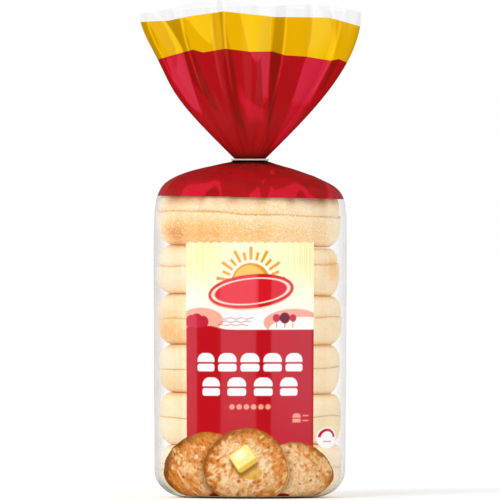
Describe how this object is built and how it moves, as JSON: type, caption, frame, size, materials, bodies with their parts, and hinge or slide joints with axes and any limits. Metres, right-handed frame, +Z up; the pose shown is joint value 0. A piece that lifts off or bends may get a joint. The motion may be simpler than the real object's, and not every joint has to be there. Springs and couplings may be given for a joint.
{
  "type": "pack of split english muffins",
  "caption": "Upright clear film bag of split English muffins with red shoulders, a front print panel, a flat bread tag round its neck and a pleated film fan above it",
  "frame": {"origin": "centre of the bag's foot, on the surface it stands on", "axes": "+Z up along the stack of muffins to the film fan, the printed front faces -Y, +X to the viewer's right"},
  "size_m": [0.1161, 0.0954, 0.259],
  "materials": {
    "film": "glossy thin film, clear over the muffins, printed red and yellow above them",
    "tag_plastic": "smooth pale plastic"
  },
  "bodies": {
    "root": {"bag": "film", "tag": "tag_plastic"}
  },
  "joints": []
}
